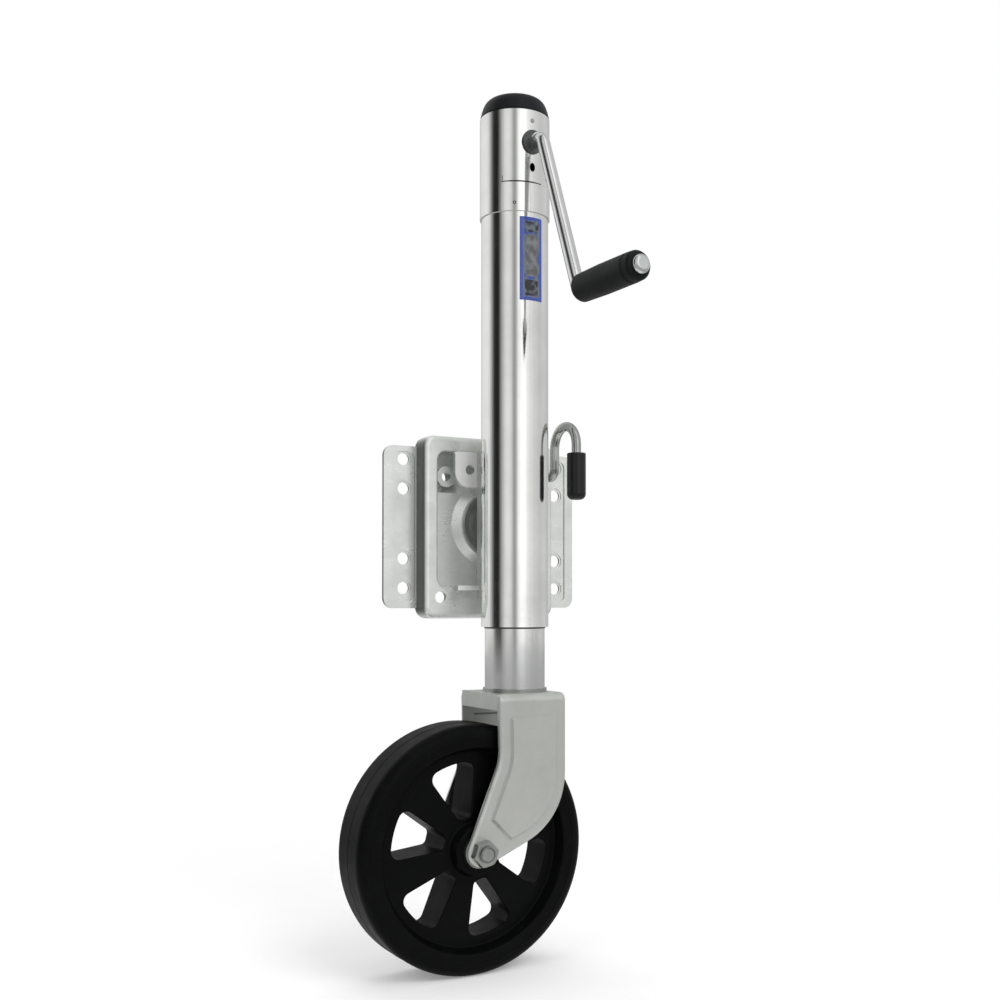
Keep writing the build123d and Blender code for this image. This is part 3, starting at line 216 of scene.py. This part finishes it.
def moulded(name, color, pale, rough, sheen, grain_scale=1500, grain_depth=0.04 * MM):
    """Black moulded plastic: leathery grain, faint scuffs and dust in the broad areas."""
    s = Shader(name)
    grain = s.noise(grain_scale, 3, 0.6)
    scuffs = s.noise(60, 6, 0.75)
    marks = s.noise(240, 3, 0.6, (1, 1, 5))
    tone = s.mix(s.spread(scuffs, 0, 0.5, 0.5, 0.75), color, pale)
    tone = s.mix(s.spread(marks, 0, 0.35, 0.62, 0.78), tone, pale)
    roughness = s.math("ADD", s.spread(scuffs, rough - 0.05, rough + 0.09), s.spread(grain, -0.03, 0.03))
    return s.done(tone, roughness, s.bump(grain, grain_depth, 0.5), Specular_IOR_Level=sheen)


def sintered(name, color, rough):
    """Pressed metal powder, with dark pores."""
    s = Shader(name)
    pores = s.cells(2200)
    tone = s.mix(s.spread(pores, 0, 1, 0.1, 0.6), tuple(c * 0.6 for c in color), color)
    return s.done(tone, rough, s.bump(pores, 0.04 * MM, 0.5), Metallic=1.0)


def label_film(name):
    """Gloss film with a blue border round pale and dark fields, bare of any lettering."""
    s = Shader(name)
    fine = s.noise(1800, 2, 0.5)
    fade = s.noise(60, 4, 0.6)
    patches = s.noise(230, 2, 0.5, (1, 1, 0.7))
    place = s.add("ShaderNodeSeparateXYZ")
    s.link(s.place, place.inputs["Vector"])

    def field(left, right, bottom, top):
        """One between both pairs of sides, in millimetres from the label's lower middle, else nought."""
        inside = 1.0
        for axis, start, low, high in (("X", 0, left, right), ("Z", LABEL_BOTTOM, bottom, top)):
            for operation, side in (("GREATER_THAN", low), ("LESS_THAN", high)):
                within = s.math(operation, place.outputs[axis], start + side * MM)
                inside = s.math("MULTIPLY", inside, within)
        return inside

    blotches = s.noise(190, 2, 0.4, (1, 1, 0.9))
    blue = s.mix(s.spread(fade, 0, 0.7), (0.035, 0.075, 0.36), (0.05, 0.10, 0.42))
    pale = s.mix(s.spread(patches, 0, 1, 0.44, 0.60), (0.16, 0.175, 0.20), (0.045, 0.085, 0.34))
    grey = s.mix(s.spread(blotches, 0, 1, 0.36, 0.64), (0.22, 0.23, 0.24), (0.10, 0.105, 0.11))
    dark = s.mix(s.spread(blotches, 0, 1, 0.46, 0.66), (0.010, 0.011, 0.014), (0.16, 0.18, 0.22))
    tone = s.mix(field(-8.0, 8.0, 2.5, 67.0), blue, pale)
    tone = s.mix(field(-5.0, 5.5, 20.0, 55.0), tone, grey)
    tone = s.mix(field(-6.0, 7.0, 57.0, 65.5), tone, dark)
    tone = s.mix(field(-6.5, 6.0, 4.0, 17.0), tone, dark)
    relief = s.bump(fine, 0.008 * MM, 0.4)
    return s.done(tone, s.spread(fade, 0.28, 0.4), relief, Coat_Weight=0.3, Coat_Roughness=0.12)


TUBE = plated("zinc_polished", (0.90, 0.90, 0.88), (0.78, 0.79, 0.78), 0.085, cloud=0.03)
SLEEVE = plated("zinc_sleeve", (0.90, 0.91, 0.89), (0.78, 0.79, 0.78), 0.10, cloud=0.03)
RAM = plated("zinc_ram", (0.84, 0.85, 0.83), (0.72, 0.73, 0.73), 0.12, cloud=0.03)
ROD = plated("zinc_rod", (0.84, 0.84, 0.83), (0.66, 0.68, 0.68), 0.15, streak=(1, 0.06, 1))
PIN = plated("zinc_pin", (0.52, 0.53, 0.51), (0.36, 0.38, 0.36), 0.17)
# The last colour of the plate and of the bracket is painted shade for their walls that face to the sides.
PLATE = chromate("zinc_plate", (0.88, 0.89, 0.86), (0.68, 0.72, 0.70), 0.30, 0.62, (0.09, 0.10, 0.09))
BRACKET = chromate("zinc_bracket", (0.95, 0.95, 0.93), (0.86, 0.87, 0.85), 0.34, 0.15, (0.36, 0.38, 0.37))
FORK = chromate("zinc_fork", (0.60, 0.61, 0.58), (0.50, 0.52, 0.49), 0.36, 0.7)
FASTENER = chromate("zinc_fastener", (0.46, 0.47, 0.44), (0.30, 0.32, 0.30), 0.28)
STEEL = machined("oiled_steel", (0.42, 0.42, 0.42), 0.34)
BRONZE = sintered("sintered_bronze", (0.36, 0.31, 0.24), 0.42)
BUSH = sintered("sintered_iron", (0.13, 0.135, 0.135), 0.34)
CAP = moulded("cap_black", (0.004, 0.005, 0.006), (0.012, 0.013, 0.014), 0.42, 0.22)
GRIP = moulded("grip_black", (0.006, 0.007, 0.007), (0.018, 0.019, 0.019), 0.46, 0.16)
VINYL = moulded("vinyl_black", (0.006, 0.006, 0.007), (0.016, 0.016, 0.018), 0.30, 0.35, 900, 0.02 * MM)
WHEEL = moulded("wheel_black", (0.0018, 0.002, 0.002), (0.006, 0.0065, 0.0065), 0.44, 0.07, 1300, 0.05 * MM)
NYLON = moulded("nylon_black", (0.006, 0.0065, 0.0065), (0.016, 0.0165, 0.0165), 0.45, 0.15)
LABEL = label_film("label_blue")
WELD = chromate("zinc_weld", (0.55, 0.57, 0.56), (0.36, 0.39, 0.38), 0.40, 0.8)
# Dark grease for the film round the ram; the same colour is painted shade in the sleeve's slit and darkens
# the punched mark.
GREASE_AND_SHADE = moulded("grease_and_painted_shade", (0.030, 0.028, 0.022), (0.060, 0.056, 0.046), 0.24, 0.5, 500, 0.06 * MM)

FINISH = {
    "mount_plate": PLATE, "pivot_thrust_ring": STEEL, "pivot_drum": PLATE, "pivot_washer": PLATE,
    "pivot_retaining_ring": STEEL, "tube_bracket": BRACKET, "pin_housing": BRACKET,
    "pin_housing_cap": BRACKET,
    "pull_pin": PIN, "pin_collar": STEEL, "pin_spring": STEEL, "pin_grip": VINYL, "outer_tube": TUBE,
    "head_sleeve": SLEEVE, "top_cap": CAP, "cap_rivet": FASTENER, "label_plate": LABEL,
    "crank_bush_front": BUSH, "crank_bush_rear": BUSH, "crank_rod": ROD, "crank_push_ring": FASTENER,
    "handle_grip": GRIP, "grip_push_cap": ROD, "driven_gear": STEEL, "drive_pinion": STEEL,
    "pinion_pin": STEEL, "gear_pin": STEEL, "lead_screw": STEEL, "bearing_plate": STEEL,
    "thrust_bearing": STEEL, "inner_tube": RAM, "screw_nut": BRONZE, "ram_base": STEEL, "kingpin": FASTENER,
    "caster_washer": FASTENER, "fork": FORK, "axle_bolt": FASTENER, "axle_nut": FASTENER,
    "axle_sleeve": STEEL, "axle_washers": FASTENER, "wheel": WHEEL, "wheel_bushes": NYLON,
}
for name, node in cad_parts.items():
    node.data.materials.clear()
    node.data.materials.append(FINISH[name])


# ---------------------------------------------------------------- modelled details

def finish_mesh(name, bm, material, body, smooth=True):
    """A piece from a bmesh, riding on a body."""
    bmesh.ops.recalc_face_normals(bm, faces=bm.faces)
    mesh = bpy.data.meshes.new(name)
    bm.to_mesh(mesh)
    bm.free()
    mesh.materials.append(material)
    if smooth:
        mesh.polygons.foreach_set("use_smooth", [True] * len(mesh.polygons))
    piece = bpy.data.objects.new(name, mesh)
    bpy.context.scene.collection.objects.link(piece)
    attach(piece, body)
    return piece


def tube_along(name, points, radii, material, body, sides=12):
    """A closed skin of rings round a path, with a radius at each point."""
    bm = bmesh.new()
    rings = []
    for k, (point, radius) in enumerate(zip(points, radii)):
        ahead = (points[min(k + 1, len(points) - 1)] - points[max(k - 1, 0)]).normalized()
        side = ahead.cross(Vector((0.3, 0.5, 0.81))).normalized()
        other = ahead.cross(side)
        ring = []
        for n in range(sides):
            turn = 2 * math.pi * n / sides
            ring.append(bm.verts.new(point + radius * (math.cos(turn) * side + math.sin(turn) * other)))
        rings.append(ring)
    for a, b in zip(rings, rings[1:]):
        for n in range(sides):
            bm.faces.new((a[n], a[(n + 1) % sides], b[(n + 1) % sides], b[n]))
    bm.faces.new(rings[0])
    bm.faces.new(rings[-1])
    return finish_mesh(name, bm, material, body)


def lathed(name, profile, centre, axis, material, body, sides=48):
    """A closed profile of (radius, height) pairs turned round an axis."""
    bm = bmesh.new()
    turn_to = Vector((0, 0, 1)).rotation_difference(Vector(axis)).to_matrix()
    rings = []
    for n in range(sides):
        turn = 2 * math.pi * n / sides
        points = [Vector((r * math.cos(turn), r * math.sin(turn), h)) for r, h in profile]
        rings.append([bm.verts.new(Vector(centre) + turn_to @ point) for point in points])
    count = len(profile)
    for n in range(sides):
        a, b = rings[n], rings[(n + 1) % sides]
        for k in range(count):
            bm.faces.new((a[k], b[k], b[(k + 1) % count], a[(k + 1) % count]))
    return finish_mesh(name, bm, material, body)


def weld_bead(name, x, y, z0, z1):
    """A vertical fillet weld: overlapping scales of slightly uneven size."""
    count = int((z1 - z0) / WELD_STEP)
    points, radii = [], []
    for k in range(count + 1):
        wave = abs(math.sin(k * 0.62)) * 0.16 + 0.08 * math.sin(k * 0.13 + x * 900)
        tapered = min(1, (k + 1) / 4, (count + 1 - k) / 4)
        points.append(Vector((x + 0.15 * MM * math.sin(k * 0.31), y, z0 + k * WELD_STEP)))
        radii.append(WELD_R * (0.86 + wave) * tapered)
    return tube_along(name, points, radii, WELD, "column")


def seam(name, radius, z0, z1, material):
    """The flattened weld line of a rolled tube, barely proud of its surface."""
    points, radii = [], []
    count = int((z1 - z0) / SEAM_STEP)
    sunk = radius - 0.32 * MM
    for k in range(count + 1):
        turn = math.radians(SEAM_TURN + 0.35 * math.sin(k * 0.4))
        height = z0 + (z1 - z0) * k / count
        points.append(Vector((sunk * math.cos(turn), axis_y + sunk * math.sin(turn), height)))
        radii.append(SEAM_R * (0.9 + 0.1 * math.sin(k * 1.7)))
    return tube_along(name, points, radii, material, "column", 8)


def slit_shade_strip(name, turn_from, turn_to, height, width):
    """A dark strip set flush in a slit of the head sleeve, between two azimuths, with tapered ends: painted
    shade filling the slit.
    """
    bm = bmesh.new()
    count = 48
    inner, outer = sleeve_r - 0.25 * MM, sleeve_r + 0.06 * MM
    rows = []
    for k in range(count + 1):
        share = k / count
        turn = math.radians(turn_from + (turn_to - turn_from) * share)
        half = width / 2 * min(1, 0.3 + 3 * min(share, 1 - share))
        section = ((inner, -half), (outer, -half * 0.8), (outer, half * 0.8), (inner, half))
        rows.append([bm.verts.new((r * math.cos(turn), axis_y + r * math.sin(turn), height + h))
                     for r, h in section])
    for a, b in zip(rows, rows[1:]):
        for n in range(4):
            bm.faces.new((a[n], a[(n + 1) % 4], b[(n + 1) % 4], b[n]))
    bm.faces.new(rows[0])
    bm.faces.new(rows[-1])
    return finish_mesh(name, bm, GREASE_AND_SHADE, "column", False)


def crimp(name, azimuth, z, size):
    """A punched mark on the head sleeve: a raised edge round a low middle, drawn darker than the sleeve
    round it.
    """
    turn = math.radians(azimuth)
    outward = Vector((math.cos(turn), math.sin(turn), 0))
    centre = Vector((0, axis_y, z)) + outward * sleeve_r
    profile = [(0.05 * MM, -0.5 * MM), (size, -0.5 * MM), (size * 0.98, 0.05 * MM), (size * 0.80, 0.22 * MM),
               (size * 0.60, 0.12 * MM), (size * 0.40, -0.12 * MM), (0.05 * MM, -0.2 * MM)]
    return lathed(name, profile, centre, outward, GREASE_AND_SHADE, "column")


tube_low, tube_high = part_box("outer_tube")
axis_y = (tube_low.y + tube_high.y) / 2
tube_r = (tube_high.x - tube_low.x) / 2
sleeve_low, sleeve_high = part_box("head_sleeve")
sleeve_r = (sleeve_high.x - sleeve_low.x) / 2
bracket_low, bracket_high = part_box("tube_bracket")

weld_y = axis_y + math.sqrt(tube_r ** 2 - SADDLE_X ** 2)
weld_margin = 4 * MM
for side, name in ((-1, "left"), (1, "right")):
    weld_bead("weld_" + name, side * (SADDLE_X + 1.0 * MM), weld_y - 0.6 * MM,
              bracket_low.z + weld_margin, bracket_high.z - weld_margin)
seam("seam_sleeve", sleeve_r, sleeve_low.z + 0.8 * MM, SLIT_Z - 1.45 * MM, SLEEVE)
seam("seam_tube", tube_r, tube_low.z + 1 * MM, LABEL_BOTTOM - 1 * MM, TUBE)
# Painted shade: dark strips fill the slit and the short upright tick above its end.
slit_shade_strip("slit_shade_sleeve", SLIT_FROM, SLIT_TO, SLIT_Z, 1.5 * MM)
slit_shade_strip("slit_shade_tick", SLIT_FROM + 0.6, SLIT_FROM + 1.6, SLIT_Z + 3 * MM, 6.0 * MM)
crimp("crimp_low", 240, sleeve_low.z + 6.5 * MM, 1.5 * MM)

ram_low, ram_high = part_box("inner_tube")
ram_r = (ram_high.x - ram_low.x) / 2
film = [(ram_r - 0.3 * MM, 0.4 * MM), (ram_r + 0.9 * MM, 0.3 * MM), (ram_r + 0.5 * MM, -0.9 * MM),
        (ram_r - 0.3 * MM, -1.3 * MM)]
lathed("grease_ring", film, (0, axis_y, tube_low.z - 0.3 * MM), (0, 0, 1), GREASE_AND_SHADE,
       "column", 96)

wheel_low, wheel_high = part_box("wheel")
wheel_middle = (wheel_low + wheel_high) / 2
wheel_r = (wheel_high.z - wheel_low.z) / 2
flash = [(wheel_r - 0.3 * MM, 0.35 * MM), (wheel_r + 0.18 * MM, 0.1 * MM), (wheel_r + 0.18 * MM, -0.1 * MM),
         (wheel_r - 0.3 * MM, -0.35 * MM)]
lathed("tread_flash", flash, wheel_middle, (0, 1, 0), WHEEL, "wheel", 160)

face_y = (wheel_high.y - wheel_low.y) / 2 - RIM_FACE_Y
crease = [(RIM_FLAT_R + 0.3 * MM, -0.4 * MM), (RIM_FLAT_R, 0.16 * MM), (RIM_FLAT_R - 0.8 * MM, 0.34 * MM),
          (RIM_FLAT_R - 1.6 * MM, 0.16 * MM), (RIM_FLAT_R - 1.9 * MM, -0.4 * MM)]
for side, name in ((-1, "front"), (1, "back")):
    lathed("face_crease_" + name, crease, (wheel_middle.x, axis_y + side * face_y, wheel_middle.z),
           (0, side, 0), WHEEL, "wheel", 160)

bolt_low, bolt_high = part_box("axle_bolt")
bolt_middle = (bolt_low + bolt_high) / 2
thread_top = 2.35 * MM
thread = []
for k in range(THREAD_TURNS):
    height = thread_top - k * THREAD_PITCH
    thread += [(BOLT_R, height), (BOLT_R + THREAD_DEPTH, height - 0.3 * MM), (BOLT_R, height - 0.6 * MM)]
thread += [(BOLT_R - 0.3 * MM, -0.2 * MM), (BOLT_R - 0.3 * MM, thread_top)]
lathed("bolt_thread", thread, (bolt_middle.x, bolt_low.y + 2.6 * MM, bolt_middle.z), (0, -1, 0), FASTENER,
       "caster", 64)


# ---------------------------------------------------------------- light, floor, camera

def backdrop_material():
    """A pale floor that keeps the object's shadow and turns into the white room further out.

    The far part is white to the camera, and greyer in reflections and as a light.
    """
    s = Shader("floor_pale")
    speck = s.noise(30, 3, 0.5)
    tone = s.mix(s.spread(speck, 0, 1), (0.93, 0.93, 0.93), (0.95, 0.95, 0.95))
    s.done(tone, 0.75, Specular_IOR_Level=0.2)
    reach = s.add("ShaderNodeVectorMath", operation="LENGTH")
    s.link(s.place, reach.inputs[0])
    away = s.spread(reach.outputs["Value"], 0, 1, 0.28, 0.75)
    glow = s.add("ShaderNodeEmission")
    ray = s.add("ShaderNodeLightPath")
    s.link(s.spread(ray.outputs["Is Camera Ray"], 0.42, 1.0, 0.0, 1.0), glow.inputs["Strength"])
    blend = s.add("ShaderNodeMixShader")
    s.link(away, blend.inputs["Fac"])
    s.link(s.bsdf.outputs["BSDF"], blend.inputs[1])
    s.link(glow.outputs["Emission"], blend.inputs[2])
    s.link(blend.outputs["Shader"], s.output.inputs["Surface"])
    return s.material


def make_floor(height):
    """One large square at the wheel's lowest point."""
    mesh = bpy.data.meshes.new("floor")
    reach = 6.0
    corners = [(x * reach, y * reach, height) for x, y in ((-1, -1), (1, -1), (1, 1), (-1, 1))]
    mesh.from_pydata(corners, [], [(0, 1, 2, 3)])
    floor = bpy.data.objects.new("floor", mesh)
    bpy.context.scene.collection.objects.link(floor)
    mesh.materials.append(backdrop_material())


def make_world():
    """A white room with softer grey sides, which polished metal shows as broad vertical bands."""
    world = bpy.data.worlds.new("studio")
    bpy.context.scene.world = world
    world.use_nodes = True
    tree = world.node_tree
    tree.nodes.clear()
    new = tree.nodes.new
    output = new("ShaderNodeOutputWorld")
    background = new("ShaderNodeBackground")
    white = new("ShaderNodeBackground")
    white.inputs["Color"].default_value = (1, 1, 1, 1)
    white.inputs["Strength"].default_value = 1.0
    chooser = new("ShaderNodeMixShader")
    ray = new("ShaderNodeLightPath")
    coord = new("ShaderNodeTexCoord")
    split = new("ShaderNodeSeparateXYZ")
    angle = new("ShaderNodeMath")
    angle.operation = "ARCTAN2"
    turn = new("ShaderNodeMapRange")
    turn.inputs["From Min"].default_value = -math.pi
    turn.inputs["From Max"].default_value = math.pi
    ramp = new("ShaderNodeValToRGB")
    ramp.color_ramp.interpolation = "EASE"
    elements = ramp.color_ramp.elements
    # Share of a turn from -X round by -Y, with how bright the room is there.
    bands = [
        (0.0, 0.012), (0.012, 0.02), (0.031, 0.17), (0.053, 0.38), (0.085, 0.60), (0.115, 0.62),
        (0.135, 0.53), (0.152, 0.34), (0.167, 0.24), (0.18, 0.36), (0.205, 0.78), (0.225, 0.95),
        (0.262, 0.95), (0.29, 0.72), (0.325, 0.62), (0.37, 0.53), (0.43, 0.47), (0.50, 0.50),
        (0.57, 0.42), (0.72, 0.50), (0.80, 0.64), (0.87, 0.66), (0.90, 0.58), (0.925, 0.33),
        (0.945, 0.13), (0.965, 0.02), (1.0, 0.012),
    ]
    while len(elements) < len(bands):
        elements.new(0.5)
    for element, (place, level) in zip(elements, bands):
        element.position = place
        element.color = (level, level, level, 1)
    link = tree.links.new
    link(coord.outputs["Generated"], split.inputs["Vector"])
    link(split.outputs["Y"], angle.inputs[0])
    link(split.outputs["X"], angle.inputs[1])
    link(angle.outputs["Value"], turn.inputs["Value"])
    link(turn.outputs["Result"], ramp.inputs["Fac"])
    link(ramp.outputs["Color"], background.inputs["Color"])
    background.inputs["Strength"].default_value = 1.3
    link(ray.outputs["Is Camera Ray"], chooser.inputs["Fac"])
    link(background.outputs["Background"], chooser.inputs[1])
    link(white.outputs["Background"], chooser.inputs[2])
    link(chooser.outputs["Shader"], output.inputs["Surface"])


def lamp(name, place, target, size, power):
    """A soft rectangular lamp that polished metal doesn't show."""
    data = bpy.data.lights.new(name, "AREA")
    data.shape = "RECTANGLE"
    data.size, data.size_y = size
    data.energy = power
    light = bpy.data.objects.new(name, data)
    bpy.context.scene.collection.objects.link(light)
    light.location = place
    light.rotation_mode = "QUATERNION"
    light.rotation_quaternion = (Vector(target) - Vector(place)).to_track_quat("-Z", "Y")
    light.visible_glossy = False


def make_camera():
    """At the height of the lower tube, to the left of the jack, looking at it a little upwards."""
    data = bpy.data.cameras.new("camera")
    data.lens = 43.927
    data.shift_x = -0.0146
    data.shift_y = 0.08
    camera = bpy.data.objects.new("camera", data)
    bpy.context.scene.collection.objects.link(camera)
    camera.location = (-0.51244, -0.96082, -0.06786)
    yaw, tilt = math.radians(29.683), math.radians(1.047)
    look = Vector((math.sin(yaw) * math.cos(tilt), math.cos(yaw) * math.cos(tilt), math.sin(tilt)))
    camera.rotation_mode = "QUATERNION"
    camera.rotation_quaternion = look.to_track_quat("-Z", "Y")
    bpy.context.scene.camera = camera


ground = wheel_low.z
make_camera()
make_floor(ground)
make_world()
lamp("key", (0.4, -2.2, 1.9), (0, axis_y, 0), (1.6, 1.6), 34)
lamp("fill", (-2.4, -0.6, 1.2), (0, axis_y, 0), (1.6, 2.0), 16)
lamp("top", (0.2, 0.6, 2.6), (0, axis_y, 0), (2.2, 2.2), 26)

bpy.context.scene.view_settings.view_transform = "Standard"
